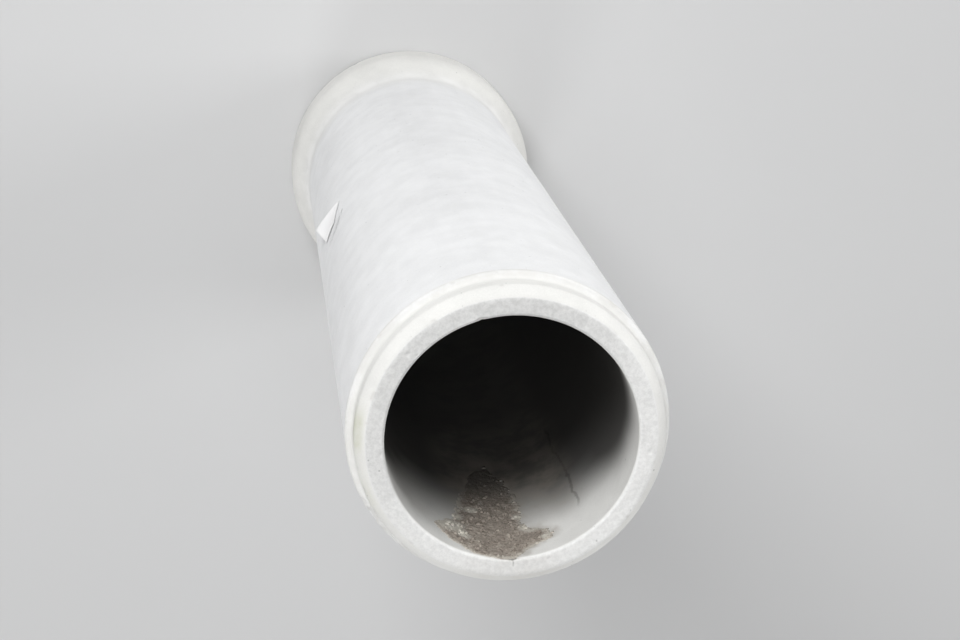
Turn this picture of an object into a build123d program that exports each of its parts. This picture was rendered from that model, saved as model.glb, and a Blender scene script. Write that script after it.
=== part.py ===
from build123d import *
from math import acos, degrees, sin
import os

# Concrete culvert pipe with a bell socket at one end and a stepped spigot at the other,
# standing on its bell. Sizes are in millimetres. The pipe's axis is the Z axis, and heights
# are counted from the bell's face, which rests on the ground.

# Barrel
bore_radius = 250.0
barrel_wall = 75.0
laying_length = 2500.0  # from the shoulder inside the bell to the spigot's face
edge_round = 5.0  # worn edge at both ends of the bore

# Spigot
spigot_radius = 309.0
spigot_length = 62.0
nose_length = 26.0
nose_drop = 22.0  # how far the nose tapers in towards the bore
nose_crown = 2.5  # bulge of the tapered nose over a straight cone
step_slant = 2.5  # lean of the step from the spigot down to the barrel
step_chamfer = 4.0

# Bell
socket_gap = 10.0  # radial room between the spigot and the bell's wall
socket_depth = 75.0
socket_wall = 56.0
socket_straight = 110.0
crown_radius = 100.0  # the flare's curve where it leaves the bell
hollow_radius = 150.0  # the flare's curve where it meets the barrel
rim_band = 16.0  # narrow band behind the bell's face, left by the form's ring
rim_drop = 3.0
rim_chamfer = 5.0
lead_in_depth = 12.0
lead_in_rise = 7.0

# Rubber seal let into the bell's wall: places from its front edge, heights over the wall
seal_setback = 19.0  # from the bell's face to the groove
seal_width = 47.0
seal_groove = 11.0
seal_lip_place = 13.0
seal_lip_height = 7.0
seal_dip_place = 21.0
seal_dip_height = 4.5
seal_crest_place = 34.0
seal_crest_height = 16.0
seal_heel_height = 12.0
seal_clearance = 0.3  # radial, at the bottom of the groove

# Radii worked out from the sizes above
barrel_radius = bore_radius + barrel_wall
face_radius = spigot_radius - nose_drop
socket_radius = spigot_radius + socket_gap
bell_radius = socket_radius + socket_wall
band_radius = bell_radius - rim_drop
groove_radius = socket_radius + seal_groove

# Heights worked out from the sizes above
overall_length = laying_length + socket_depth
groove_top = seal_setback + seal_width
nose_start = overall_length - nose_length
spigot_start = overall_length - spigot_length
step_start = spigot_start - step_slant
barrel_top = step_start - step_chamfer

# The flare is two tangent arcs, crowned and then hollow
flare_turn = acos(1 - (bell_radius - barrel_radius) / (crown_radius + hollow_radius))
flare_length = (crown_radius + hollow_radius) * sin(flare_turn)

# Concrete pipe, cast in one piece: its wall's section turned about the axis
with BuildPart() as pipe:
    with BuildSketch(Plane.XZ):
        with BuildLine():
            # Bell's face and outside, up the flare to the barrel
            bell_face = Line((socket_radius + lead_in_rise, 0), (band_radius - rim_chamfer, 0))
            rim = Line(bell_face @ 1, (band_radius, rim_chamfer))
            band = Line(rim @ 1, (band_radius, rim_band))
            band_step = Line(band @ 1, (bell_radius, rim_band))
            bell = Line(band_step @ 1, (bell_radius, socket_straight))
            crown = JernArc(bell @ 1, (0, 1), crown_radius, degrees(flare_turn))
            hollow = JernArc(crown @ 1, crown % 1, hollow_radius, -degrees(flare_turn))
            barrel = Line(hollow @ 1, (barrel_radius, barrel_top))
            # Spigot: step in from the barrel, seat for the seal, tapered nose, end face
            shoulder = Line(barrel @ 1, (barrel_radius - step_chamfer, step_start))
            step = Line(shoulder @ 1, (spigot_radius, spigot_start))
            seat = Line(step @ 1, (spigot_radius, nose_start))
            nose = SagittaArc(seat @ 1, (face_radius, overall_length), -nose_crown)
            face = Line(nose @ 1, (bore_radius + edge_round, overall_length))
            # Bore, with a worn edge at each end
            upper_edge = RadiusArc(face @ 1, (bore_radius, overall_length - edge_round), -edge_round)
            bore = Line(upper_edge @ 1, (bore_radius, socket_depth + edge_round))
            lower_edge = RadiusArc(bore @ 1, (bore_radius + edge_round, socket_depth), -edge_round)
            # Inside of the bell: shoulder, wall, seal groove, lead-in
            stop = Line(lower_edge @ 1, (socket_radius, socket_depth))
            root = Line(stop @ 1, (socket_radius, groove_top))
            groove_heel = Line(root @ 1, (groove_radius, groove_top))
            groove = Line(groove_heel @ 1, (groove_radius, seal_setback))
            groove_mouth = Line(groove @ 1, (socket_radius, seal_setback))
            wall = Line(groove_mouth @ 1, (socket_radius, lead_in_depth))
            lead_in = Line(wall @ 1, bell_face @ 0)
        make_face()
    revolve(axis=Axis.Z)

# Rubber seal: a base that fills the groove, a first lip, and a crest that the spigot squeezes
seal_base = groove_radius - seal_clearance
with BuildPart() as joint_seal:
    with BuildSketch(Plane.XZ):
        with BuildLine():
            base = Line((seal_base, groove_top), (seal_base, seal_setback))
            front = Line(base @ 1, (socket_radius, seal_setback))
            lip = Spline(
                front @ 1,
                (socket_radius - seal_lip_height, seal_setback + seal_lip_place),
                (socket_radius - seal_dip_height, seal_setback + seal_dip_place),
                (socket_radius - seal_crest_height, seal_setback + seal_crest_place),
                (socket_radius - seal_heel_height, groove_top),
            )
            back = Line(lip @ 1, base @ 0)
        make_face()
    revolve(axis=Axis.Z)

os.makedirs("parts", exist_ok=True)
pipe.part.label = "pipe"
export_step(pipe.part, "parts/pipe.step")
joint_seal.part.label = "joint_seal"
export_step(joint_seal.part, "parts/joint_seal.step")

print("overall length", overall_length, "bell diameter", 2 * bell_radius)
print("flare length", round(flare_length, 1))
print("concrete volume", round(pipe.part.volume / 1e9, 6), "m3")
print("seal volume", round(joint_seal.part.volume / 1e3, 2), "cm3")
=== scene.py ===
"""Visual model of a precast concrete culvert pipe that stands on its bell."""

import math
import random

import bmesh
import bpy
from mathutils import Matrix, Vector, kdtree, noise


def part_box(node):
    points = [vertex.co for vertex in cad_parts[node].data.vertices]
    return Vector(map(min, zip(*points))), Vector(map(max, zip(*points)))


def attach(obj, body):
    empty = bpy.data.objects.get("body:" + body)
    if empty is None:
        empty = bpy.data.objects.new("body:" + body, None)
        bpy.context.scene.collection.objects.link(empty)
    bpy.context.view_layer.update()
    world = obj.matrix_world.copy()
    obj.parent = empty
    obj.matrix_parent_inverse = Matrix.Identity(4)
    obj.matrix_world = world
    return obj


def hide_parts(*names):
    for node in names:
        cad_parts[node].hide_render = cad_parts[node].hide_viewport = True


bl_info = {
    "name": "Concrete Culvert Pipe",
    "version": (1, 0, 0),
    "blender": (4, 5, 0),
    "location": "3D Viewport > Sidebar > Culvert Pipe",
    "description": "Builds a bell-and-spigot concrete pipe with its seal, silt and paper slip",
    "category": "Add Mesh",
}

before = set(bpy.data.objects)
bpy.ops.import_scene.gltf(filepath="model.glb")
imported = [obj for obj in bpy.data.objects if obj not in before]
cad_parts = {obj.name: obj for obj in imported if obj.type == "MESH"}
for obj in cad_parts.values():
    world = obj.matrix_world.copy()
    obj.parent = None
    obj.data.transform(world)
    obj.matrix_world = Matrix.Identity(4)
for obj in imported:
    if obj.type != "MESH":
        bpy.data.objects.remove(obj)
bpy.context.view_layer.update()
BODY = "root"
PIPE_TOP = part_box("pipe")[1].z

# Places on the pipe are given by their distance from the spigot's face and a clock angle:
# 0 is the -Y side, a positive angle leans to -X, and 180 is the +Y side, where the silt lies.
HAIRLINE_ANGLE = math.radians(139.5)
LIP_CRACK_ANGLE = math.radians(177.8)


def side(angle):
    """Unit vector away from the axis at a clock angle in degrees."""
    turn = math.radians(angle)
    return Vector((-math.sin(turn), -math.cos(turn), 0.0))


def place(station, angle, radius):
    """Point at a distance from the spigot's face, a clock angle and a distance from the axis."""
    point = side(angle) * radius
    point.z = PIPE_TOP - station
    return point


def length(name, default, description):
    """A size in metres that a user may change."""
    return bpy.props.FloatProperty(
        name=name, description=description, default=default, min=0.0, unit="LENGTH", precision=4
    )


def colour(name, default, description):
    """A linear colour that a user may change."""
    return bpy.props.FloatVectorProperty(
        name=name, description=description, default=default, size=3, min=0.0, max=1.0,
        subtype="COLOR",
    )


class CulvertWallSizes(bpy.types.PropertyGroup):
    """Section of the cast wall, as in the part's own source."""

    bore_radius: length("Bore Radius", 0.250, "From the axis to the inside of the barrel")
    barrel_radius: length("Barrel Radius", 0.325, "From the axis to the outside of the barrel")
    edge_round: length("Edge Round", 0.005, "Worn edge at both ends of the bore")
    spigot_radius: length("Spigot Radius", 0.309, "Seat that the next socket's seal grips")
    spigot_length: length("Spigot Length", 0.062, "From the end face back to the step")
    nose_length: length("Nose Length", 0.026, "Tapered part of the spigot")
    nose_drop: length("Nose Drop", 0.022, "How far the nose tapers in")
    nose_crown: length("Nose Crown", 0.0025, "Bulge of the nose over a straight cone")
    step_slant: length("Step Slant", 0.0025, "Lean of the step down to the barrel")
    step_chamfer: length("Step Chamfer", 0.004, "Broken edge on top of the step")
    socket_radius: length("Socket Radius", 0.319, "Inside of the bell")
    socket_depth: length("Socket Depth", 0.075, "From the bell's face to the shoulder inside")
    bell_radius: length("Bell Radius", 0.375, "Outside of the bell")
    bell_straight: length("Bell Straight", 0.110, "Straight part of the bell")
    crown_radius: length("Crown Radius", 0.100, "Curve that leaves the bell")
    hollow_radius: length("Hollow Radius", 0.150, "Curve that meets the barrel")
    rim_band: length("Rim Band", 0.016, "Narrow band by the bell's face")
    rim_drop: length("Rim Drop", 0.003, "How far the band lies below the bell")
    rim_chamfer: length("Rim Chamfer", 0.005, "Broken edge of the bell's face")
    lead_in_depth: length("Lead-in Depth", 0.012, "Slanted entry of the socket")
    lead_in_rise: length("Lead-in Rise", 0.007, "How far the entry opens")
    groove_setback: length("Groove Setback", 0.019, "From the bell's face to the groove")
    groove_width: length("Groove Width", 0.047, "Along the axis")
    groove_depth: length("Groove Depth", 0.011, "Into the bell's wall")
    segments: bpy.props.IntProperty(
        name="Segments", description="Flat strips round the pipe", default=400, min=24, max=720
    )


class CulvertFinish(bpy.types.PropertyGroup):
    """Colours and surface of the materials."""

    barrel: colour("Barrel", (0.848, 0.853, 0.859), "Dry cement skin of the barrel")
    spigot: colour("Spigot", (0.775, 0.773, 0.752), "Smooth seat and nose")
    face: colour("End Face", (0.790, 0.790, 0.780), "Trowelled end face")
    bell: colour("Bell", (0.765, 0.762, 0.738), "Creamier skin of the bell")
    # Painted shade: the bore's colour darkens the inside deeper in, where light does not reach
    bore: colour("Bore", (0.095, 0.092, 0.088), "Inside of the barrel, dusty and damp")
    silt: colour("Silt", (0.288, 0.250, 0.216), "Dried mud on the invert")
    sand: colour("Sand", (0.660, 0.630, 0.565), "Pale sand on the silt")
    rubber: colour("Rubber", (0.020, 0.020, 0.022), "Seal in the bell")
    paper: colour("Paper", (0.960, 0.960, 0.960), "Bare slip on the barrel")
    floor: colour("Floor", (0.640, 0.642, 0.645), "Studio floor")
    backdrop: bpy.props.FloatProperty(
        name="Backdrop", description="Paleness of the backdrop", default=0.62, min=0.0, max=1.0,
        subtype="FACTOR",
    )
    waviness: length("Waviness", 0.0012, "Depth of the long waves in the cast skin")
    grain: length("Grain", 0.0005, "Depth of the small unevenness of the skin")
    pitting: length("Pitting", 0.0022, "Depth of the pits in the end faces")
    seed: bpy.props.IntProperty(
        name="Seed", description="Changes the wear and the crumbs", default=11, min=0
    )


def feed(tree, made, inputs):
    """Sets a node's inputs to values, or links them to other nodes' outputs."""
    for key, value in inputs.items():
        if isinstance(value, bpy.types.NodeSocket):
            tree.links.new(value, made.inputs[key])
        else:
            made.inputs[key].default_value = value


def node(tree, kind, inputs=None, **settings):
    """Adds a node, with values or links for its inputs and plain settings."""
    made = tree.nodes.new(kind)
    for name, value in settings.items():
        setattr(made, name, value)
    feed(tree, made, inputs or {})
    return made


def calc(tree, operation, first, second=0.0, clamp=False):
    """Output of a Math node."""
    inputs = {0: first, 1: second}
    return node(tree, "ShaderNodeMath", inputs, operation=operation, use_clamp=clamp).outputs[0]


def times(tree, first, second, clamp=False):
    """Product of two values."""
    return calc(tree, "MULTIPLY", first, second, clamp)


def plus(tree, first, second, clamp=False):
    """Sum of two values."""
    return calc(tree, "ADD", first, second, clamp)


def blended(tree, share, below, above, how="MIX"):
    """Output of a colour Mix node: share of above over below."""
    made = node(tree, "ShaderNodeMix", {0: share}, data_type="RGBA", blend_type=how)
    for key, tone in ((6, below), (7, above)):
        feed(tree, made, {key: tone if isinstance(tone, bpy.types.NodeSocket) else (*tone, 1.0)})
    return made.outputs[2]


def ranged(tree, value, low, high, to_low=0.0, to_high=1.0):
    """Smooth step from to_low to to_high as a value goes from low to high."""
    made = node(
        tree,
        "ShaderNodeMapRange",
        {"Value": value, "From Min": low, "From Max": high, "To Min": to_low, "To Max": to_high},
        interpolation_type="SMOOTHSTEP",
    )
    return made.outputs[0]


def length_of(tree, vector):
    """Length of a vector."""
    return node(tree, "ShaderNodeVectorMath", {0: vector}, operation="LENGTH").outputs["Value"]


def speckle(tree, where, scale, detail=3.0, roughness=0.55):
    """Noise value in an object's own space, with features of 1 / scale metres."""
    inputs = {"Vector": where, "Scale": scale, "Detail": detail, "Roughness": roughness}
    return node(tree, "ShaderNodeTexNoise", inputs).outputs[0]


def spots(tree, where, scale, channel, luck, largest, ragged=0.0):
    """1 inside small round spots, in the cells whose random colour channel lies above luck."""
    cells = node(tree, "ShaderNodeTexVoronoi", {"Vector": where, "Scale": scale})
    chosen = node(tree, "ShaderNodeSeparateColor", {0: cells.outputs["Color"]}).outputs[channel]
    distance = plus(tree, cells.outputs["Distance"], ragged)
    return calc(tree, "LESS_THAN", distance, ranged(tree, chosen, luck, 1.0, 0.0, largest))


def crack_line(tree, angle, middle, uneven, sway, inner, outer):
    """1 along a clock angle that sways with a noise, and 0 from outer, in radians, beside it."""
    drift = ranged(tree, uneven, 0.2, 0.8, -sway, sway)
    beside = calc(tree, "SUBTRACT", plus(tree, angle, drift), middle)
    return ranged(tree, calc(tree, "ABSOLUTE", beside), inner, outer, 1.0, 0.0)


def attribute(tree, name):
    """Value of a number stored on the piece's own points."""
    return node(tree, "ShaderNodeAttribute", attribute_name=name).outputs["Fac"]


def new_material(name):
    """Material with an empty tree, its shader, its object coordinates and its output."""
    made = bpy.data.materials.new(name)
    made.use_nodes = True
    tree = made.node_tree
    tree.nodes.clear()
    shader = node(tree, "ShaderNodeBsdfPrincipled")
    node(tree, "ShaderNodeOutputMaterial", {"Surface": shader.outputs[0]})
    where = node(tree, "ShaderNodeTexCoord").outputs["Object"]
    return made, tree, shader, where


def dress(tree, shader, inputs, height=None, strength=0.0, distance=0.0):
    """Gives the shader its inputs, and a bump of a strength and a distance in metres."""
    if height is not None:
        bump_inputs = {"Height": height, "Strength": strength, "Distance": distance}
        bump = node(tree, "ShaderNodeBump", bump_inputs)
        inputs = {**inputs, "Normal": bump.outputs[0]}
    feed(tree, shader, inputs)


# Second colours of the materials, beside those of the finish group
RUBBER_DUST = (0.16, 0.155, 0.15)
DRY_CLUMPS = (0.388, 0.345, 0.298)
DARK_CRUMBS = (0.130, 0.104, 0.085)
PALE_CRUMBS = (0.450, 0.410, 0.350)
# Painted shade: the silt's colour deeper in the bore
SHADED_SILT = (0.150, 0.137, 0.122)
PAPER_FIBRE = (0.80, 0.79, 0.77)
STREAK_TONES = ((0.64, 0.645, 0.65), (0.74, 0.745, 0.75))
FLOOR_CLOUDS = (0.7, 0.7, 0.7)
FLOOR_FADE = (2.2, 8.0)  # distances between which the floor goes over into the backdrop

# Stains of the skin, with painted shade at the step's root and a painted highlight round the bell's
# flare: zone, strength and colour
STAINS = (
    ("dust_zone", 1.0, (0.370, 0.335, 0.290)),
    # Painted shade: a grey tint round the root of the step
    ("step_zone", 0.85, (0.705, 0.702, 0.685)),
    ("green_zone", 0.75, (0.560, 0.570, 0.450)),
    ("chip_zone", 0.55, (0.620, 0.610, 0.590)),
    # Painted highlight: a pale band round the foot of the bell's flare
    ("flare_highlight_zone", 0.8, (0.900, 0.900, 0.890)),
)


def concrete_material(finish):
    """Cast concrete: kinds of skin, painted shade in the bore and at the step, a painted highlight
    round the bell's flare, clouds, drag marks, pores, cracks, stains and a fine grain.
    """
    made, tree, shader, where = new_material("cast_concrete")
    x, y, z = node(tree, "ShaderNodeSeparateXYZ", {0: where}).outputs
    along, around = (
        node(tree, "ShaderNodeMapping", {"Vector": where, "Scale": stretch}).outputs[0]
        for stretch in ((1.0, 1.0, 0.07), (0.12, 0.12, 1.0))
    )
    clouds = speckle(tree, where, 2.3, 5.0, 0.6)
    patches = speckle(tree, where, 15.0, 5.0, 0.62)
    drags = speckle(tree, along, 34.0, 4.0, 0.6)
    lifts = speckle(tree, around, 13.0, 3.0, 0.5)
    mottle = speckle(tree, where, 110.0, 4.0, 0.62)
    grains = speckle(tree, where, 300.0, 3.0, 0.7)
    # The bore zone is painted shade, darkest deep in the bore
    face, bore = attribute(tree, "face_zone"), attribute(tree, "bore_zone")
    skin = finish.barrel
    for zone, tone in (
        (attribute(tree, "bell_zone"), finish.bell),
        (attribute(tree, "seat_zone"), finish.spigot),
        (face, finish.face),
        (bore, finish.bore),
    ):
        skin = blended(tree, zone, skin, tone)

    # Lightness: noise, its low and high value, and what it adds to the shade at each
    shade = 1.0
    for value, low, high, darker, paler in (
        (clouds, 0.32, 0.68, -0.035, 0.015),
        (patches, 0.32, 0.68, -0.034, 0.020),
        (drags, 0.32, 0.68, -0.010, 0.007),
        (lifts, 0.32, 0.68, -0.003, 0.002),
        (grains, 0.30, 0.70, -0.030, 0.018),
    ):
        shade = plus(tree, shade, ranged(tree, value, low, high, darker, paler))

    # The end faces are mottled, and darker towards one side
    leaning = calc(tree, "SUBTRACT", y, times(tree, x, 0.5))
    for uneven in (
        ranged(tree, mottle, 0.34, 0.66, -0.075, 0.035),
        ranged(tree, leaning, -0.30, 0.16, -0.15, 0.015),
    ):
        shade = plus(tree, shade, times(tree, face, uneven))

    # Air pores, finer pricks between them, and pale flecks of dried cement spray
    outside = calc(tree, "SUBTRACT", 1.0, bore)
    pricks = times(tree, spots(tree, where, 105.0, 2, 0.60, 0.13), 0.6)
    holes = calc(tree, "MAXIMUM", spots(tree, where, 46.0, 0, 0.70, 0.115), pricks)
    holes = times(tree, holes, outside)
    ragged = ranged(tree, grains, 0.3, 0.7, -0.012, 0.012)
    flecks = times(tree, spots(tree, where, 13.0, 1, 0.55, 0.085, ragged), outside)

    # Hairline along the inside of the bore
    angle = calc(tree, "ARCTAN2", times(tree, x, -1.0), times(tree, y, -1.0))
    uneven = speckle(tree, where, 9.0, 4.0, 0.6)
    hairline = crack_line(tree, angle, HAIRLINE_ANGLE, uneven, 0.045, 0.004, 0.018)
    hairline = times(tree, hairline, attribute(tree, "hairline_zone"))

    # Short crack across the lip, near the silt's tip
    uneven = speckle(tree, where, 60.0, 3.0)
    crack = crack_line(tree, angle, LIP_CRACK_ANGLE, uneven, 0.012, 0.001, 0.006)
    reach = length_of(tree, node(tree, "ShaderNodeCombineXYZ", {0: x, 1: y}).outputs[0])
    crack = times(tree, crack, ranged(tree, reach, 0.262, 0.270, 1.0, 0.0))
    crack = times(tree, crack, ranged(tree, z, PIPE_TOP - 0.025, PIPE_TOP - 0.010))

    for mark, strength in ((holes, -0.26), (flecks, 0.045), (hairline, -0.36), (crack, -0.34)):
        shade = plus(tree, shade, times(tree, mark, strength))
    grey = node(tree, "ShaderNodeCombineColor", {0: shade, 1: shade, 2: shade}).outputs[0]
    skin = blended(tree, 1.0, skin, grey, "MULTIPLY")

    torn = times(tree, ranged(tree, patches, 0.35, 0.62), 0.75)
    for name, strength, tint in STAINS:
        zone = times(tree, attribute(tree, name), strength)
        share = times(tree, zone, plus(tree, 0.45, torn), clamp=True)
        skin = blended(tree, share, skin, tint)

    height = times(tree, grains, 0.35)
    for mark, rise in ((mottle, face), (holes, -1.5), (hairline, -1.0), (crack, -1.0)):
        height = plus(tree, height, times(tree, mark, rise))
    roughness = ranged(tree, patches, 0.3, 0.7, 0.80, 0.93)
    inputs = {"Base Color": skin, "Roughness": roughness, "Specular IOR Level": 0.25}
    dress(tree, shader, inputs, height, 0.45, 0.0015)
    return made


def rubber_material(finish):
    """Black rubber with a little dust."""
    made, tree, shader, where = new_material("seal_rubber")
    dust = ranged(tree, speckle(tree, where, 60.0, 4.0, 0.6), 0.5, 0.75)
    base = blended(tree, times(tree, dust, 0.35), finish.rubber, RUBBER_DUST)
    inputs = {"Base Color": base, "Roughness": ranged(tree, dust, 0.0, 1.0, 0.42, 0.7)}
    dress(tree, shader, inputs, speckle(tree, where, 900.0, 2.0), 0.15, 0.0004)
    return made


def silt_material(finish):
    """Dried mud with pale sand on it, crumbly and matt, with painted shade that darkens it deeper
    in the bore.
    """
    made, tree, shader, where = new_material("dried_silt")
    clumps = speckle(tree, where, 40.0, 5.0, 0.65)
    crumbs = speckle(tree, where, 150.0, 4.0, 0.65)
    grains = speckle(tree, where, 420.0, 3.0, 0.7)
    sandy = ranged(tree, clumps, 0.30, 0.52, 0.35, 1.0)
    base = finish.silt
    for share, tone in (
        (ranged(tree, clumps, 0.36, 0.66), DRY_CLUMPS),
        (ranged(tree, crumbs, 0.50, 0.66, 0.0, 0.75), DARK_CRUMBS),
        (ranged(tree, crumbs, 0.44, 0.34, 0.0, 0.6), PALE_CRUMBS),
        (times(tree, attribute(tree, "sand_zone"), sandy), finish.sand),
        # Painted shade: darker silt deeper in the bore
        (attribute(tree, "shaded_zone"), SHADED_SILT),
    ):
        base = blended(tree, share, base, tone)
    height = plus(tree, crumbs, times(tree, grains, 0.4))
    inputs = {"Base Color": base, "Roughness": 0.94, "Specular IOR Level": 0.2}
    dress(tree, shader, inputs, height, 0.7, 0.003)
    return made


def paper_material(finish):
    """Bare paper."""
    made, tree, shader, where = new_material("bare_paper")
    fibre = ranged(tree, speckle(tree, where, 400.0, 3.0), 0.4, 0.7, 0.0, 0.12)
    base = blended(tree, fibre, finish.paper, PAPER_FIBRE)
    dress(tree, shader, {"Base Color": base, "Roughness": 0.6})
    return made


def streak_material(finish):
    """Grey streak on the skin beside the slip."""
    made, tree, shader, where = new_material("old_streak")
    blots = ranged(tree, speckle(tree, where, 120.0, 3.0), 0.35, 0.65)
    dress(tree, shader, {"Base Color": blended(tree, blots, *STREAK_TONES), "Roughness": 0.7})
    return made


def seen_directly(tree):
    """1 for rays that the eye sees, straight or through gloss and glass, and 0 for other light."""
    path = node(tree, "ShaderNodeLightPath").outputs
    seen = plus(tree, path["Is Camera Ray"], path["Is Glossy Ray"], clamp=True)
    return plus(tree, seen, path["Is Transmission Ray"], clamp=True)


def floor_material(finish):
    """Plain matt floor with the faintest clouding, which goes over into the backdrop far out."""
    made, tree, shader, where = new_material("studio_floor")
    clouds = ranged(tree, speckle(tree, where, 1.2), 0.3, 0.7, 0.0, 0.06)
    base = blended(tree, clouds, finish.floor, FLOOR_CLOUDS)
    dress(tree, shader, {"Base Color": base, "Roughness": 0.9, "Specular IOR Level": 0.1})
    level = finish.backdrop
    glow = node(tree, "ShaderNodeEmission", {"Color": (level, level, level, 1.0), "Strength": 1.0})
    far = ranged(tree, length_of(tree, where), *FLOOR_FADE)
    share = times(tree, far, seen_directly(tree))
    mixed = node(tree, "ShaderNodeMixShader", {0: share, 1: shader.outputs[0], 2: glow.outputs[0]})
    surface = next(n for n in tree.nodes if n.type == "OUTPUT_MATERIAL")
    feed(tree, surface, {"Surface": mixed.outputs[0]})
    return made


MATERIALS = {
    "cast_concrete": concrete_material,
    "seal_rubber": rubber_material,
    "dried_silt": silt_material,
    "bare_paper": paper_material,
    "old_streak": streak_material,
    "studio_floor": floor_material,
}


def material(name):
    """The scene's material of that name, made the first time it is asked for."""
    return bpy.data.materials.get(name) or MATERIALS[name](bpy.context.scene.culvert_finish)


def run(start, end, step):
    """Points from start up to end, without end, no further apart than step."""
    (r0, z0), (r1, z1) = start, end
    count = max(1, math.ceil(math.hypot(r1 - r0, z1 - z0) / step))
    return [(r0 + (r1 - r0) * i / count, z0 + (z1 - z0) * i / count) for i in range(count)]


def rounded(corners):
    """Closed outline through corners (radius, height, rounding, longest row to the next one)."""
    ends = []
    for i, (r, z, rounding, _) in enumerate(corners):
        before, after = corners[i - 1], corners[(i + 1) % len(corners)]
        here = Vector((r, z))
        back = (Vector(before[:2]) - here).normalized()
        ahead = (Vector(after[:2]) - here).normalized()
        if rounding == 0.0:
            ends.append([here])
            continue
        start, end = here + back * rounding, here + ahead * rounding
        ends.append(
            [
                start * (1 - t) ** 2 + here * 2 * t * (1 - t) + end * t * t
                for t in (0, 0.25, 0.5, 0.75, 1)
            ]
        )
    outline = []
    for i, points in enumerate(ends):
        outline += [tuple(p) for p in points[:-1]]
        outline += run(points[-1], ends[(i + 1) % len(ends)][0], corners[i][3])
    return outline


CROWN_ROWS, HOLLOW_ROWS, NOSE_ROWS = 8, 11, 8
FINE_PLACE, MIDDLE_PLACE, COARSE_PLACE = 0.025, 0.16, 0.25  # from the spigot's face
NOSE_LEAN = 0.72  # share of the nose's bulge that goes out, and as much that goes up


def flare_points(size):
    """Two tangent arcs from the bell to the barrel, crowned and then hollow."""
    crown, hollow = size.crown_radius, size.hollow_radius
    turn = math.acos(1 - (size.bell_radius - size.barrel_radius) / (crown + hollow))
    points = []
    for i in range(CROWN_ROWS + 1):
        a = turn * i / CROWN_ROWS
        r = size.bell_radius - crown * (1 - math.cos(a))
        points.append((r, size.bell_straight + crown * math.sin(a)))
    middle, start = points[-1]
    for i in range(1, HOLLOW_ROWS + 1):
        a = turn * (1 - i / HOLLOW_ROWS)
        r = middle - hollow * (math.cos(a) - math.cos(turn))
        points.append((r, start + hollow * (math.sin(turn) - math.sin(a))))
    return points


def nose_points(size):
    """Tapered nose of the spigot, a little fuller than a cone."""
    start = PIPE_TOP - size.nose_length
    points = []
    for i in range(1, NOSE_ROWS - 1):
        t = i / NOSE_ROWS
        bulge = 4 * t * (1 - t) * size.nose_crown * NOSE_LEAN
        r = size.spigot_radius - size.nose_drop * t + bulge
        points.append((r, start + size.nose_length * t + bulge))
    return points


def wall_outline(size):
    """Section of the wall, from the bell's face up the outside and down the bore."""
    top, flare = PIPE_TOP, flare_points(size)
    nose_start, spigot_start = top - size.nose_length, top - size.spigot_length
    step_start = spigot_start - size.step_slant
    groove_start, groove_top = size.groove_setback, size.groove_setback + size.groove_width
    bore, barrel, spigot = size.bore_radius, size.barrel_radius, size.spigot_radius
    socket, bell, stop = size.socket_radius, size.bell_radius, size.socket_depth
    band, groove, worn = bell - size.rim_drop, socket + size.groove_depth, size.edge_round
    # Radius, height, rounding, and the longest row up to the next corner, short near the lip
    corners = [
        (socket + size.lead_in_rise, 0.0, 0.0015, 0.008),
        (band - size.rim_chamfer, 0.0, 0.0015, 0.008),
        (band, size.rim_chamfer, 0.001, 0.006),
        (band, size.rim_band, 0.001, 0.004),
        (bell, size.rim_band, 0.001, 0.018),
        *[(r, z, 0.0, 0.02) for r, z in flare[:-1]],
        (*flare[-1], 0.0, 0.070),
        (barrel, top - MIDDLE_PLACE, 0.0, 0.008),
        (barrel, step_start - size.step_chamfer, 0.0028, 0.002),
        (barrel - size.step_chamfer, step_start, 0.0022, 0.003),
        (spigot, spigot_start, 0.0060, 0.0045),
        (spigot, nose_start, 0.003, 0.004),
        *[(r, z, 0.0, 0.01) for r, z in nose_points(size)],
        (spigot - size.nose_drop, top, 0.0070, 0.0028),
        (bore + worn, top, 0.0025, 0.003),
        (bore, top - worn, 0.0025, 0.005),
        (bore, top - FINE_PLACE, 0.0, 0.010),
        (bore, top - COARSE_PLACE, 0.0, 0.080),
        (bore, stop + worn, 0.002, 0.004),
        (bore + worn, stop, 0.002, 0.010),
        (socket, stop, 0.002, 0.005),
        (socket, groove_top, 0.0, 0.012),
        (groove, groove_top, 0.0, 0.050),
        (groove, groove_start, 0.0, 0.012),
        (socket, groove_start, 0.0, 0.005),
        (socket, size.lead_in_depth, 0.001, 0.006),
    ]
    return rounded(corners)


def linked(name, data):
    """New object of some data, in the scene."""
    made = bpy.data.objects.new(name, data)
    bpy.context.scene.collection.objects.link(made)
    return made


def outline_object(name, outline):
    """Loose closed line of an outline, laid out for the turning tree."""
    mesh = bpy.data.meshes.new(name)
    points = [(r - 1.0, -z, 0.0) for r, z in reversed(outline)]
    count = len(points)
    mesh.from_pydata(points, [(i, (i + 1) % count) for i in range(count)], [])
    return linked(name, mesh)


def new_tree(name, shape, output, numbers):
    """Geometry Nodes tree that takes a shape, numbers (name, kind, default) and a finish."""
    tree = bpy.data.node_groups.new(name, "GeometryNodeTree")
    sockets = tree.interface
    sockets.new_socket(name=shape, in_out="INPUT", socket_type="NodeSocketGeometry")
    for label, kind, default in numbers:
        made = sockets.new_socket(name=label, in_out="INPUT", socket_type="NodeSocket" + kind)
        made.default_value = default
    sockets.new_socket(name="Finish", in_out="INPUT", socket_type="NodeSocketMaterial")
    sockets.new_socket(name=output, in_out="OUTPUT", socket_type="NodeSocketGeometry")
    return tree, node(tree, "NodeGroupInput").outputs


def end_tree(tree, geometry, finish):
    """Ends a tree in Realize Instances and Set Material."""
    whole = node(tree, "GeometryNodeRealizeInstances", {"Geometry": geometry}).outputs[0]
    finished = node(tree, "GeometryNodeSetMaterial", {"Geometry": whole, "Material": finish})
    node(tree, "NodeGroupOutput", {0: finished.outputs[0]})


WAVE_SCALE, GRAIN_SCALE, PIT_SCALE = 4.5, 55.0, 62.0


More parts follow.
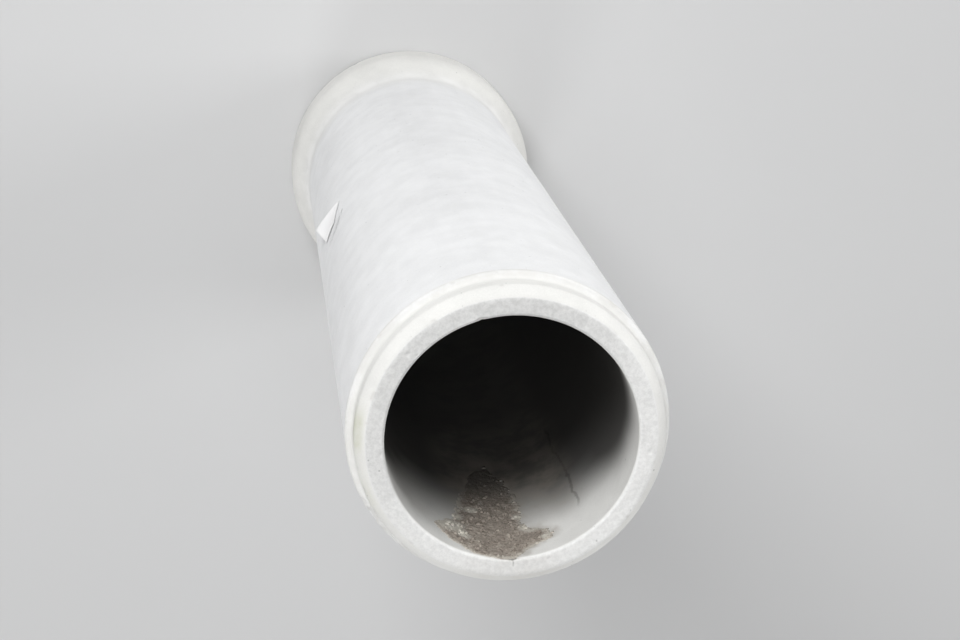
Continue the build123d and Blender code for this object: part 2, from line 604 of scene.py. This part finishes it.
def turning_tree():
    """Geometry Nodes that turn a section about the Z axis and give the skin its unevenness."""
    numbers = [("Segments", "Int", 64), ("Seed", "Float", 3.0)]
    numbers += [(name, "Float", 0.0) for name in ("Waviness", "Grain", "Pitting")]
    tree, given = new_tree("turned_ring", "Section", "Ring", numbers)
    section = node(tree, "GeometryNodeMeshToCurve", {"Mesh": given["Section"]}).outputs[0]
    circle_inputs = {"Resolution": given["Segments"], "Radius": 1.0}
    circle = node(tree, "GeometryNodeCurvePrimitiveCircle", circle_inputs).outputs[0]
    upright = node(tree, "GeometryNodeSetCurveNormal", {"Curve": circle}).outputs[0]
    ring_inputs = {"Curve": upright, "Profile Curve": section}
    ring = node(tree, "GeometryNodeCurveToMesh", ring_inputs).outputs[0]
    where = {"Vector": node(tree, "GeometryNodeInputPosition").outputs[0], "W": given["Seed"]}
    depth = 0.0
    for height, scale in ((given["Waviness"], WAVE_SCALE), (given["Grain"], GRAIN_SCALE)):
        noise_inputs = {**where, "Scale": scale, "Detail": 2.0}
        value = node(tree, "ShaderNodeTexNoise", noise_inputs, noise_dimensions="4D").outputs[0]
        depth = plus(tree, depth, times(tree, value, height))
    # Pits only where the surface is square to the axis, in about half of the cells
    outwards = node(tree, "GeometryNodeInputNormal").outputs[0]
    cell_inputs = {**where, "Scale": PIT_SCALE}
    cells = node(tree, "ShaderNodeTexVoronoi", cell_inputs, voronoi_dimensions="4D").outputs
    chosen = node(tree, "FunctionNodeSeparateColor", {0: cells["Color"]}).outputs[0]
    square = calc(tree, "ABSOLUTE", node(tree, "ShaderNodeSeparateXYZ", {0: outwards}).outputs[2])
    pits = ranged(tree, cells["Distance"], 0.10, 0.42, 1.0, 0.0)
    pits = times(tree, pits, ranged(tree, chosen, 0.45, 0.95))
    pits = times(tree, pits, ranged(tree, square, 0.93, 0.99))
    depth = plus(tree, depth, times(tree, pits, given["Pitting"]))
    inwards_inputs = {0: outwards, "Scale": times(tree, depth, -1.0)}
    inwards = node(tree, "ShaderNodeVectorMath", inwards_inputs, operation="SCALE").outputs[0]
    worn = node(tree, "GeometryNodeSetPosition", {"Geometry": ring, "Offset": inwards})
    end_tree(tree, worn.outputs[0], given["Finish"])
    return tree


def grown(source, tree, values):
    """Runs a tree on an object with named values, and leaves the result as its plain mesh."""
    modifier = source.modifiers.new(tree.name, "NODES")
    modifier.node_group = tree
    for item in tree.interface.items_tree:
        if item.in_out == "INPUT" and item.name in values:
            modifier[item.identifier] = values[item.name]
    seen = source.evaluated_get(bpy.context.evaluated_depsgraph_get())
    made = bpy.data.meshes.new_from_object(seen)
    source.modifiers.remove(modifier)
    old = source.data
    source.data = made
    made.name = source.name
    bpy.data.meshes.remove(old)
    if not made.polygons:
        raise RuntimeError(f"{source.name} came out empty")
    return source


def finish_faces(piece, angle):
    """Smooth faces with sharp edges where the surface turns more than an angle in degrees."""
    piece.data.shade_smooth()
    piece.data.set_sharp_from_angle(angle=math.radians(angle))


def thicken(piece, thickness, offset):
    """Gives an open sheet its thickness: offset -1 puts it all below the sheet."""
    shell = piece.modifiers.new("thickness", "SOLIDIFY")
    shell.thickness, shell.offset = thickness, offset


def grid_quads(rows, columns):
    """Quads between the points of a grid that has one point more each way."""
    corners = [i * (columns + 1) + j for i in range(rows) for j in range(columns)]
    return [(k, k + 1, k + columns + 2, k + columns + 1) for k in corners]


def store(mesh, name, values):
    """Keeps one number for each point of a mesh, for its material."""
    mesh.attributes.new(name, "FLOAT", "POINT").data.foreach_set("value", values)


def step_up(value, low, high):
    """0 below low, 1 above high, smooth between."""
    t = min(1.0, max(0.0, (value - low) / (high - low)))
    return t * t * (3 - 2 * t)


def step_down(value, low, high):
    """1 below low, 0 above high, smooth between."""
    return 1 - step_up(value, low, high)


def hump(value, middle, width):
    """Bell curve, 1 at its middle."""
    return math.exp(-(((value - middle) / width) ** 2))


def wander(a, b, c, size):
    """Even noise, about -1 to 1, with features of a size in metres."""
    return noise.fractal(Vector((a, b, c)) / size, 1.0, 2.0, 4)


def between(stops, value):
    """Straight-line reading of a row of (value, result) stops."""
    for (v0, r0), (v1, r1) in zip(stops, stops[1:]):
        if value <= v1:
            return r0 + (r1 - r0) * max(0.0, (value - v0) / (v1 - v0))
    return stops[-1][1]


# Half-widths of the silt to both sides of the lowest line, by distance from the spigot's face
SILT_LEFT = (
    (0.000, 0.000), (0.014, 0.064), (0.045, 0.106), (0.070, 0.134), (0.095, 0.150), (0.150, 0.112),
    (0.175, 0.092), (0.245, 0.074), (0.340, 0.058), (0.430, 0.034), (0.520, 0.004),
)
SILT_RIGHT = (
    (0.000, 0.000), (0.010, 0.020), (0.035, 0.036), (0.055, 0.068), (0.065, 0.102), (0.105, 0.092),
    (0.132, 0.066), (0.170, 0.053), (0.205, 0.048), (0.330, 0.054), (0.430, 0.032), (0.520, 0.004),
)
SILT_START, SILT_END = 0.004, 0.50


def silt_margin(station, across):
    """How far inside the silt's ragged edge a place of the bore lies; negative outside."""
    ragged = 0.012 * wander(across, station, 1.0, 0.040)
    ragged += 0.005 * wander(across, station, 5.0, 0.009)
    half = between(SILT_RIGHT if across > 0 else SILT_LEFT, station)
    lip_side = station - SILT_START + 0.45 * ragged
    return min(half + ragged - abs(across), SILT_END + 2 * ragged - station, lip_side)


# Edges where flakes break off: distance from the spigot's face, radius, and the way out as its
# radial and upward share
EDGES = {
    "lip": (0.0015, 0.2515, -1.0, 1.0),
    "face": (0.0010, 0.2870, 0.6, 1.0),
    "seat": (0.0260, 0.3090, 1.0, 0.4),
    "step": (0.0665, 0.3235, 1.0, 1.0),
    "bell": (PIPE_TOP - 0.003, 0.3700, 1.0, -1.0),
    "rim": (PIPE_TOP - 0.016, 0.3750, 1.0, -1.0),
}
# Large flakes: edge, clock angle, size and depth
FLAKES = (
    ("lip", -16.0, 0.015, 0.0060), ("lip", -11.5, 0.009, 0.0030), ("lip", 178.0, 0.012, 0.0050),
    ("lip", 60.0, 0.009, 0.0030), ("face", -34.0, 0.010, 0.0020), ("face", 42.0, 0.009, 0.0018),
    ("face", -72.0, 0.011, 0.0024), ("step", -118.0, 0.014, 0.0045),
    ("step", -124.0, 0.024, 0.0085), ("step", -131.0, 0.012, 0.0040), ("step", 38.0, 0.013, 0.0035),
    ("step", -22.0, 0.011, 0.0030), ("seat", -102.0, 0.010, 0.0022),
    ("seat", -111.0, 0.012, 0.0028), ("seat", -120.0, 0.009, 0.0022), ("seat", 96.0, 0.010, 0.0025),
    ("bell", 30.0, 0.026, 0.0080), ("bell", -95.0, 0.020, 0.0065), ("bell", 150.0, 0.024, 0.0070),
    ("rim", -28.0, 0.012, 0.0030), ("rim", 75.0, 0.015, 0.0035),
)


def flake(mesh, tree, marks, edge, angle, size, depth):
    """Breaks a shallow flake off an edge: what stands out past a rough hollow goes back to it."""
    station, radius, radial, up = EDGES[edge]
    centre = place(station, angle, radius)
    outward = (side(angle) * radial + Vector((0.0, 0.0, up))).normalized()
    for _, index, distance in tree.find_range(centre, size):
        point = mesh.vertices[index]
        rough = wander(*point.co, 0.006) * 0.18 * depth
        limit = depth * ((distance / size) ** 2 - 1.0) + rough
        over = (point.co - centre).dot(outward) - limit
        if over > 0:
            point.co -= outward * over
            marks[index] = max(marks[index], min(1.0, over / (0.4 * depth)))


# Small flakes that are scattered round each edge, their sizes, and their depth for their size
SMALL_FLAKES = {"lip": 16, "face": 12, "seat": 12, "step": 18, "bell": 18, "rim": 12}
SMALL_FLAKE_SIZE = (0.004, 0.009)
SMALL_FLAKE_DEPTH = (0.18, 0.3)


def break_flakes(mesh, marks, luck):
    """Breaks the large flakes and the scattered small ones off the edges, and marks the scars."""
    search = kdtree.KDTree(len(mesh.vertices))
    for i, point in enumerate(mesh.vertices):
        search.insert(point.co, i)
    search.balance()
    for broken in FLAKES:
        flake(mesh, search, marks, *broken)
    for edge, count in SMALL_FLAKES.items():
        for _ in range(count):
            width = luck.uniform(*SMALL_FLAKE_SIZE)
            angle = luck.uniform(-180, 180)
            depth = width * luck.uniform(*SMALL_FLAKE_DEPTH)
            flake(mesh, search, marks, edge, angle, width, depth)


# Where one kind of skin, stain, painted shade or painted highlight gives way to the next: radii,
# then distances from the spigot's face, each as the start and end of the change
BORE_EDGE, FACE_EDGE = (0.2512, 0.2545), (0.2862, 0.2890)
FACE_END, SEAT_END, BELL_START = (0.002, 0.020), (0.0600, 0.0665), (2.22, 2.42)
# The corner's start and end hold painted shade round the root of the step
CORNER_START, CORNER_END = (0.052, 0.060), (0.0685, 0.080)
GREEN_START, GREEN_END = (0.001, 0.012), (0.040, 0.066)
HAIRLINE_START, HAIRLINE_END = (0.12, 0.17), (0.56, 0.63)
# Painted highlight round the foot of the bell's flare
FLARE_HIGHLIGHT_PLACE, FLARE_HIGHLIGHT_WIDTH = 2.352, 0.022
FACE_DUST, FACE_DUST_ANGLES = 0.17, (148, 176)


def bore_shade(x, low, station):
    """Share of painted shade in the bore, which starts deeper at the bottom and fades in slowly."""
    right = step_up(-x, 0.10, 0.16) * step_up(low, 0.10, 0.45)
    left = step_up(x, 0.03, 0.12) * step_up(low, 0.50, 0.80)
    start = 0.006 + 0.084 * step_up(low, -0.1, 0.8) - 0.036 * right + 0.02 * left
    fade = 0.27 - 0.11 * step_down(low, 0.2, 0.8) + 0.012 * right + 0.05 * left
    fade += 0.06 * step_up(low, 0.86, 0.96) * (1 - left)
    return step_up(station, start, start + fade)


def bore_dust(station, across):
    """Dust on the bore: a fringe round the silt, and a film that goes on past it."""
    fringe = 0.70 * step_up(silt_margin(station, across), -0.034, 0.002)
    film = 0.42 * step_up(station, 0.09, 0.24) * step_down(abs(across - 0.04), 0.09, 0.18)
    film *= 1 - 0.8 * step_up(station, 0.42, 0.85)
    return max(fringe * (1 - 0.9 * step_up(-across, 0.04, 0.09)), film)


def skin_zones(x, y, z, bore):
    """Share of each kind of skin, stain and wear, and of painted shade and painted highlight, at a
    point of the wall.
    """
    r, station = math.hypot(x, y), PIPE_TOP - z
    angle = math.degrees(math.atan2(-x, -y))
    outside = step_up(r, *FACE_EDGE)
    inside = step_down(r, *BORE_EDGE)
    dust = hairline = 0.0
    if inside > 0.5:
        across = math.radians(180 - abs(angle)) * (bore if angle > 0 else -bore)
        dust = bore_dust(station, across)
        hairline = step_up(station, *HAIRLINE_START) * step_down(station, *HAIRLINE_END)
    elif station < 0.03:
        dust = FACE_DUST * step_up(abs(angle), *FACE_DUST_ANGLES)
    # The corner is painted shade round the root of the step
    corner = step_up(station, *CORNER_START) * step_down(station, *CORNER_END)
    green = hump(angle, -88, 8) + 0.35 * hump(angle, -112, 10)
    green = green * outside * step_up(station, *GREEN_START) * step_down(station, *GREEN_END)
    return {
        "bell": step_up(station, *BELL_START),
        "seat": max(inside, outside * step_down(station, *SEAT_END)),
        "face": (1 - outside) * (1 - inside) * step_down(station, *FACE_END),
        # Painted shade in the bore
        "bore": inside * bore_shade(x, y / r, station),
        "dust": dust,
        # Painted shade round the root of the step
        "step": (r > 0.306) * corner,
        "green": green,
        "chip": 0.0,
        # Painted highlight round the foot of the bell's flare
        "flare_highlight": (r > 0.3) * 0.7 * hump(station, FLARE_HIGHLIGHT_PLACE, FLARE_HIGHLIGHT_WIDTH),
        "hairline": hairline,
    }


class CULVERT_OT_wall(bpy.types.Operator):
    """Turn the pipe's wall, give it its cast skin and break flakes off its edges"""

    bl_idname = "culvert.wall"
    bl_label = "Pipe Wall"

    def execute(self, context):
        size, finish = context.scene.culvert_wall, context.scene.culvert_finish
        pipe = outline_object("pipe_body", wall_outline(size))
        values = {
            "Segments": size.segments,
            "Waviness": finish.waviness,
            "Grain": finish.grain,
            "Pitting": finish.pitting,
            "Finish": material("cast_concrete"),
        }
        grown(pipe, turning_tree(), values)
        zones = {}
        for point in pipe.data.vertices:
            for name, share in skin_zones(*point.co, size.bore_radius).items():
                zones.setdefault(name + "_zone", []).append(share)
        break_flakes(pipe.data, zones["chip_zone"], random.Random(finish.seed))
        for name, shares in zones.items():
            store(pipe.data, name, shares)
        finish_faces(pipe, 34.0)
        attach(pipe, BODY)
        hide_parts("pipe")
        return {"FINISHED"}


# Inner side of the seal from its heel down to its front: how far it stands in from the socket's
# wall, height over the seal's low edge, and rounding
SEAL_HEEL = 0.0120
SEAL_INSIDE = (
    (0.0150, 0.0420, 0.002), (0.0160, 0.0340, 0.003), (0.0120, 0.0275, 0.002),
    (0.0045, 0.0210, 0.002), (0.0070, 0.0130, 0.002), (0.0050, 0.0060, 0.002),
)
SEAL_SEGMENTS = 240


class CULVERT_OT_seal(bpy.types.Operator):
    """Turn the rubber seal in the bell's groove"""

    bl_idname = "culvert.seal"
    bl_label = "Rubber Seal"

    def execute(self, context):
        wall = context.scene.culvert_wall.socket_radius
        (_, _, low), (base, _, high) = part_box("joint_seal")
        corners = [
            (base, low, 0.001, 0.006),
            (base, high, 0.001, 0.005),
            (wall - SEAL_HEEL, high, 0.001, 0.003),
            *[(wall - reach, low + up, rounding, 0.003) for reach, up, rounding in SEAL_INSIDE],
            (wall, low, 0.001, 0.006),
        ]
        seal = outline_object("seal_ring", rounded(corners))
        values = {"Segments": SEAL_SEGMENTS, "Finish": material("seal_rubber")}
        grown(seal, turning_tree(), values)
        finish_faces(seal, 50.0)
        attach(seal, BODY)
        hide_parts("joint_seal")
        return {"FINISHED"}


# Pale sand on the silt: distance from the spigot's face, offset across the lowest line, radius
SAND_PATCHES = (
    (0.122, -0.116, 0.044), (0.188, -0.098, 0.026), (0.088, -0.086, 0.020), (0.200, 0.050, 0.020),
    (0.170, 0.098, 0.022), (0.140, 0.068, 0.030), (0.075, 0.088, 0.012), (0.240, -0.050, 0.016),
)
SILT_ROWS, SILT_COLUMNS, SILT_WIDTH = 190, 124, 0.34
SILT_ROW_CLOSENESS = 1.35  # over 1, rows lie closer by the lip
SILT_SUNK, SILT_SKIN, SILT_BULK = -0.0008, 0.0012, 0.0052  # heights outside, at the edge, inside
BARE_HEIGHT = -0.0006  # under the bore's skin, where the bed's faces are left out
SILT_THICKNESS = 0.002


def silt_height(station, across, margin):
    """Height of the silt over the bore's skin, with a soft edge and low lumps."""
    edge = 0.003 + 0.03 * step_up(station, 0.3, 0.5)
    height = SILT_SUNK + SILT_SKIN * step_up(margin, -0.004, edge)
    lumps = 0.55 + 0.5 * wander(across, station, 3.0, 0.030)
    thinning = 1 - 0.7 * step_up(station, 0.3, 0.6)
    height += SILT_BULK * step_up(margin, 0.0, 0.040) * lumps * thinning
    return height + 0.0011 * wander(across, station, 9.0, 0.007) * step_up(margin, 0.0, 0.010)


def silt_bed(bore):
    """Mesh of the silt's upper side, with its marks of sand and of painted shade deeper in the
    bore.
    """
    points, heights, sand, shaded = [], [], [], []
    for i in range(SILT_ROWS + 1):
        share = (i / SILT_ROWS) ** SILT_ROW_CLOSENESS
        station = 0.002 + (SILT_END + 0.03) * share
        for j in range(SILT_COLUMNS + 1):
            across = (j / SILT_COLUMNS - 0.5) * SILT_WIDTH
            margin = silt_margin(station, across)
            height = silt_height(station, across, margin)
            patch = max(
                step_down(math.hypot(station - s, across - a) / r, 0.4, 1.25)
                for s, a, r in SAND_PATCHES
            )
            points.append(place(station, 180.0 - math.degrees(across / bore), bore - height))
            heights.append(height)
            sand.append(max(patch, 0.5 * step_down(margin, 0.001, 0.012)))
            # Painted shade, growing deeper into the bore
            shaded.append(0.94 * step_up(station, 0.22, 0.42))
    quads = grid_quads(SILT_ROWS, SILT_COLUMNS)
    bed = bpy.data.meshes.new("silt_film")
    faces = [quad for quad in quads if max(heights[k] for k in quad) > BARE_HEIGHT]
    bed.from_pydata(points, [], faces)
    store(bed, "sand_zone", sand)
    store(bed, "shaded_zone", shaded)
    return bed


CRUMB_ROUGHNESS, CRUMB_ROUGHNESS_SCALE = 0.0035, 260.0
CRUMB_RARITY = 3.0  # power by which large crumbs are rarer than small ones
CRUMB_SHAPE = (0.8, 0.6)  # breadth and height for a length of 1


def crumb_tree():
    """Geometry Nodes that scatter rough crumbs over a bed and keep only the crumbs."""
    numbers = [("Density", "Float", 1000.0), ("Seed", "Int", 1)]
    numbers += [("Smallest", "Float", 0.001), ("Largest", "Float", 0.004)]
    tree, given = new_tree("scattered_crumbs", "Bed", "Crumbs", numbers)
    seed = {"Seed": given["Seed"]}
    # The crumbs thin out where the silt's painted shade is deepest
    shaded_name = {"Name": "shaded_zone"}
    shaded = node(tree, "GeometryNodeInputNamedAttribute", shaded_name, data_type="FLOAT").outputs[0]
    thinning = calc(tree, "SUBTRACT", 1.0, times(tree, shaded, 0.9))
    density = times(tree, given["Density"], thinning)
    spread = {"Mesh": given["Bed"], "Density": density, **seed}
    points = node(tree, "GeometryNodeDistributePointsOnFaces", spread).outputs[0]
    ball = node(tree, "GeometryNodeMeshIcoSphere", {"Radius": 1.0, "Subdivisions": 2}).outputs[0]
    turns = {"Min": (0.0, 0.0, 0.0), "Max": (6.28, 6.28, 6.28), **seed}
    turn = node(tree, "FunctionNodeRandomValue", turns, data_type="FLOAT_VECTOR").outputs[0]
    chance = node(tree, "FunctionNodeRandomValue", seed, data_type="FLOAT").outputs[1]
    room = calc(tree, "SUBTRACT", given["Largest"], given["Smallest"])
    rare = calc(tree, "POWER", chance, CRUMB_RARITY)
    girth = plus(tree, given["Smallest"], times(tree, rare, room))
    breadth, height = (times(tree, girth, share) for share in CRUMB_SHAPE)
    flat = node(tree, "ShaderNodeCombineXYZ", {0: girth, 1: breadth, 2: height}).outputs[0]
    crumb = {"Points": points, "Instance": ball, "Rotation": turn, "Scale": flat}
    scattered = node(tree, "GeometryNodeInstanceOnPoints", crumb).outputs[0]
    whole = node(tree, "GeometryNodeRealizeInstances", {"Geometry": scattered}).outputs[0]
    where = node(tree, "GeometryNodeInputPosition").outputs[0]
    noise_inputs = {"Vector": where, "Scale": CRUMB_ROUGHNESS_SCALE, "Detail": 1.0}
    noisy = {0: node(tree, "ShaderNodeTexNoise", noise_inputs).outputs[1], 1: (0.5, 0.5, 0.5)}
    centred = node(tree, "ShaderNodeVectorMath", noisy, operation="SUBTRACT").outputs[0]
    shift_inputs = {0: centred, "Scale": CRUMB_ROUGHNESS}
    shift = node(tree, "ShaderNodeVectorMath", shift_inputs, operation="SCALE").outputs[0]
    rough = node(tree, "GeometryNodeSetPosition", {"Geometry": whole, "Offset": shift})
    end_tree(tree, rough.outputs[0], given["Finish"])
    return tree


class CULVERT_OT_silt(bpy.types.Operator):
    """Lay the tongue of dried silt along the bottom of the bore, with its crumbs"""

    bl_idname = "culvert.silt"
    bl_label = "Silt"

    def execute(self, context):
        bed = silt_bed(context.scene.culvert_wall.bore_radius)
        work = bmesh.new()
        work.from_mesh(bed)
        bmesh.ops.delete(work, geom=[v for v in work.verts if not v.link_faces], context="VERTS")
        bmesh.ops.recalc_face_normals(work, faces=work.faces)
        if sum(f.normal.xy.dot(f.calc_center_median().xy) for f in work.faces) > 0:
            bmesh.ops.reverse_faces(work, faces=work.faces)
        work.to_mesh(bed)
        work.free()
        silt, crumbs = linked("silt_film", bed), linked("silt_crumbs", bed.copy())
        bed.materials.append(material("dried_silt"))
        thicken(silt, SILT_THICKNESS, -1.0)
        finish_faces(silt, 70.0)
        values = {
            "Density": 9000.0,
            "Smallest": 0.0011,
            "Largest": 0.0052,
            "Seed": context.scene.culvert_finish.seed,
            "Finish": material("dried_silt"),
        }
        grown(crumbs, crumb_tree(), values)
        finish_faces(crumbs, 60.0)
        for piece in (silt, crumbs):
            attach(piece, BODY)
        return {"FINISHED"}


# Corners of the slip, and middle line of the grey streak beside it: distance from the spigot's
# face, clock angle, and lift off the barrel
SLIP_TIP, SLIP_WAIST, SLIP_FOOT, SLIP_WING = (
    (1.340, -59.1, 0.0006), (1.226, -65.8, 0.0014), (1.222, -74.8, 0.0022), (1.336, -75.2, 0.0245),
)
STREAK_MARK = ((1.226, -58.5), (1.182, -63.2), (1.154, -67.8), (1.152, -74.2))


def mixed_place(first, second, share):
    """Place between two places (distance, angle, lift)."""
    return tuple(a + (b - a) * share for a, b in zip(first, second))


def along_places(stops, share):
    """Place on a bent line of places, at an equal share of each of its stretches."""
    step = min(int(share * (len(stops) - 1)), len(stops) - 2)
    return mixed_place(stops[step], stops[step + 1], share * (len(stops) - 1) - step)


def sheet_object(name, rows, columns, at, finish):
    """Open sheet of rows by columns, whose points at(u, v) gives, with its material."""
    points = [at(i / rows, j / columns) for i in range(rows + 1) for j in range(columns + 1)]
    data = bpy.data.meshes.new(name)
    data.from_pydata(points, [], grid_quads(rows, columns))
    data.materials.append(finish)
    return linked(name, data)


SLIP_GAP, STREAK_GAP = 0.0005, 0.0004  # from the barrel to the middle of each
SLIP_THICKNESS, STREAK_THICKNESS = 0.0004, 0.0008
STREAK_HALF_WIDTH = 0.0085


class CULVERT_OT_slip(bpy.types.Operator):
    """Stick the bare paper slip on the barrel, with its loose wing and a grey streak beside it"""

    bl_idname = "culvert.slip"
    bl_label = "Paper Slip"

    def execute(self, context):
        barrel = context.scene.culvert_wall.barrel_radius
        tip = mixed_place(SLIP_TIP, SLIP_WING, 0.06)
        foot = mixed_place(SLIP_FOOT, SLIP_WING, 0.05)

        def slip_point(u, v):
            inner = along_places((SLIP_TIP, SLIP_WAIST, SLIP_FOOT), u)
            outer = along_places((tip, SLIP_WING, foot), u)
            station, angle, lift = mixed_place(inner, outer, v)
            sag = 0.35 * (outer[2] - inner[2]) * math.sin(math.pi * v)
            crease = 0.0012 * math.sin(8 * u + 3 * v) * v
            torn = 0.0022 * wander(u, v, 2.0, 0.12) * (u in (0.0, 1.0) or v in (0.0, 1.0))
            return place(station + torn, angle, barrel + SLIP_GAP + max(0.0, lift - sag + crease))

        def streak_point(u, v):
            station, angle = along_places(STREAK_MARK, u)
            half = STREAK_HALF_WIDTH * math.sin(math.pi * min(0.94, max(0.06, u))) ** 0.5
            edge = (v - 0.5) * 2 * half * (1 + 0.35 * wander(u, v, 7.0, 0.1))
            return place(station, angle + math.degrees(edge / barrel), barrel + STREAK_GAP)

        slip = sheet_object("paper_slip", 36, 20, slip_point, material("bare_paper"))
        streak = sheet_object("streak_mark", 30, 4, streak_point, material("old_streak"))
        for piece, thickness in ((slip, SLIP_THICKNESS), (streak, STREAK_THICKNESS)):
            thicken(piece, thickness, 0.0)
            finish_faces(piece, 60.0)
            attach(piece, BODY)
        return {"FINISHED"}


FLOOR_REACH = 30.0
# Name, direction to the lamp, distance, side length, height aimed at, and level on what faces it
LAMPS = (
    ("key_lamp", (0.42, -0.76, 0.55), 9.0, 4.8, 1.9, 0.75),
    ("right_lamp", (-1.00, -0.22, 0.14), 12.0, 4.8, 1.5, 0.49),
    ("rear_lamp", (0.35, 1.00, 0.12), 12.0, 4.8, 1.5, 0.48),
    ("top_lamp", (0.05, -0.10, 1.00), 7.0, 2.4, 2.5, 0.40),
)
WORLD_LEVEL = 0.20

# The camera looks from the photograph's viewpoint, turned to the pipe and with a longer lens
CAMERA_PLACE = (0.5082, -1.2677, 6.0295)
CAMERA_AIM = Vector((-0.11999, 0.28216, -0.95183))
CAMERA_UP = Vector((-0.00176, -0.95882, -0.28401))
CAMERA_SENSOR, CAMERA_LENS = 36.0, 71.45


class CULVERT_OT_stage(bpy.types.Operator):
    """Add the floor, the lamps and the camera"""

    bl_idname = "culvert.stage"
    bl_label = "Stage"

    def execute(self, context):
        scene = context.scene
        floor_mesh = bpy.data.meshes.new("stage_floor")
        signs = ((-1, -1), (1, -1), (1, 1), (-1, 1))
        corners = [(across * FLOOR_REACH, along * FLOOR_REACH, 0.0) for across, along in signs]
        floor_mesh.from_pydata(corners, [], [(0, 1, 2, 3)])
        floor_mesh.materials.append(material("studio_floor"))
        linked("stage_floor", floor_mesh)

        for name, direction, distance, breadth, aimed, level in LAMPS:
            lamp_data = bpy.data.lights.new(name, "AREA")
            lamp_data.shape, lamp_data.size = "SQUARE", breadth
            lamp_data.energy = level * (math.pi * distance) ** 2
            lamp = linked(name, lamp_data)
            towards = Vector(direction).normalized()
            lamp.location = Vector((0.0, 0.0, aimed)) + towards * distance
            lamp.rotation_euler = towards.to_track_quat("Z", "Y").to_euler()

        world = bpy.data.worlds.new("studio_world")
        world.use_nodes = True
        tree = world.node_tree
        backdrop = scene.culvert_finish.backdrop
        strength = ranged(tree, seen_directly(tree), 0.0, 1.0, WORLD_LEVEL, backdrop)
        white = {"Color": (1.0, 1.0, 1.0, 1.0), "Strength": strength}
        feed(tree, tree.nodes["Background"], white)
        scene.world = world

        aim = CAMERA_AIM.normalized()
        across = aim.cross(CAMERA_UP).normalized()
        turned = Matrix((across, across.cross(aim), -aim)).transposed().to_4x4()
        camera_data = bpy.data.cameras.new("photo_camera")
        camera_data.sensor_width, camera_data.lens = CAMERA_SENSOR, CAMERA_LENS
        camera = linked("photo_camera", camera_data)
        camera.matrix_world = Matrix.Translation(CAMERA_PLACE) @ turned
        scene.camera = camera
        scene.view_settings.view_transform = "Standard"
        return {"FINISHED"}


class CULVERT_PT_panel(bpy.types.Panel):
    """Lists the pieces of the pipe and their sizes and colours"""

    bl_idname = "CULVERT_PT_panel"
    bl_label = "Culvert Pipe"
    bl_space_type = "VIEW_3D"
    bl_region_type = "UI"
    bl_category = "Culvert Pipe"

    def draw(self, context):
        for made in OPERATORS:
            self.layout.operator(made.bl_idname)
        for group in (context.scene.culvert_wall, context.scene.culvert_finish):
            box = self.layout.box()
            for name in group.bl_rna.properties.keys():
                if name not in ("rna_type", "name"):
                    box.prop(group, name)


GROUPS = (CulvertWallSizes, CulvertFinish)
OPERATORS = (CULVERT_OT_wall, CULVERT_OT_seal, CULVERT_OT_silt, CULVERT_OT_slip, CULVERT_OT_stage)


def register():
    """Registers the classes and gives a scene its sizes and finish."""
    for made in (*GROUPS, *OPERATORS, CULVERT_PT_panel):
        bpy.utils.register_class(made)
    bpy.types.Scene.culvert_wall = bpy.props.PointerProperty(type=CulvertWallSizes)
    bpy.types.Scene.culvert_finish = bpy.props.PointerProperty(type=CulvertFinish)


def unregister():
    """Takes all of it away again, in the other order."""
    del bpy.types.Scene.culvert_wall
    del bpy.types.Scene.culvert_finish
    for made in reversed((*GROUPS, *OPERATORS, CULVERT_PT_panel)):
        bpy.utils.unregister_class(made)


def main():
    """Builds the whole pipe and its stage."""
    register()
    for made in OPERATORS:
        group, name = made.bl_idname.split(".")
        getattr(getattr(bpy.ops, group), name)()


if __name__ == "__main__":
    main()
